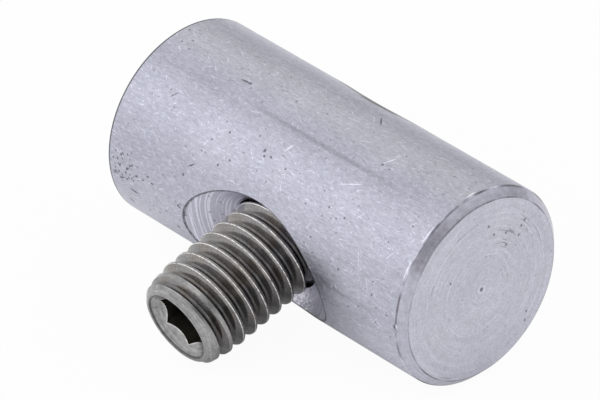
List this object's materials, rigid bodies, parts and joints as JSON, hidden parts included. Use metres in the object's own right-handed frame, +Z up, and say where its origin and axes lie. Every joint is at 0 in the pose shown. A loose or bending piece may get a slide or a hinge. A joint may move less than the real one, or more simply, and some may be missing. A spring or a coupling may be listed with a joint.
{
  "type": "locking screw",
  "caption": "Turned aluminium barrel with a countersunk cross hole and a hex socket set screw in it, which is screwed out sideways to lock the barrel in a tube or bore.",
  "frame": {"origin": "centre of the barrel, on its axis and 0.2 mm from the axis of the cross hole", "axes": "+X along the barrel, +Z up from the surface that the part lies on, the screw's socket end towards -Y and sloping down"},
  "size_m": [0.032, 0.0241, 0.016],
  "materials": {
    "turned_aluminium": "satin, bare, with fine draw lines, turning marks and small dings",
    "stainless_steel": "rolled thread, bare, slightly warm grey"
  },
  "bodies": {
    "barrel": {"barrel": "turned_aluminium"},
    "set_screw": {"set_screw": "stainless_steel"}
  },
  "joints": [
    {"name": "screw_travel", "type": "slide", "parent": "barrel", "child": "set_screw", "axis": [0, -0.9551, -0.2962], "range_m": [-0.0075, 0.0025]}
  ]
}
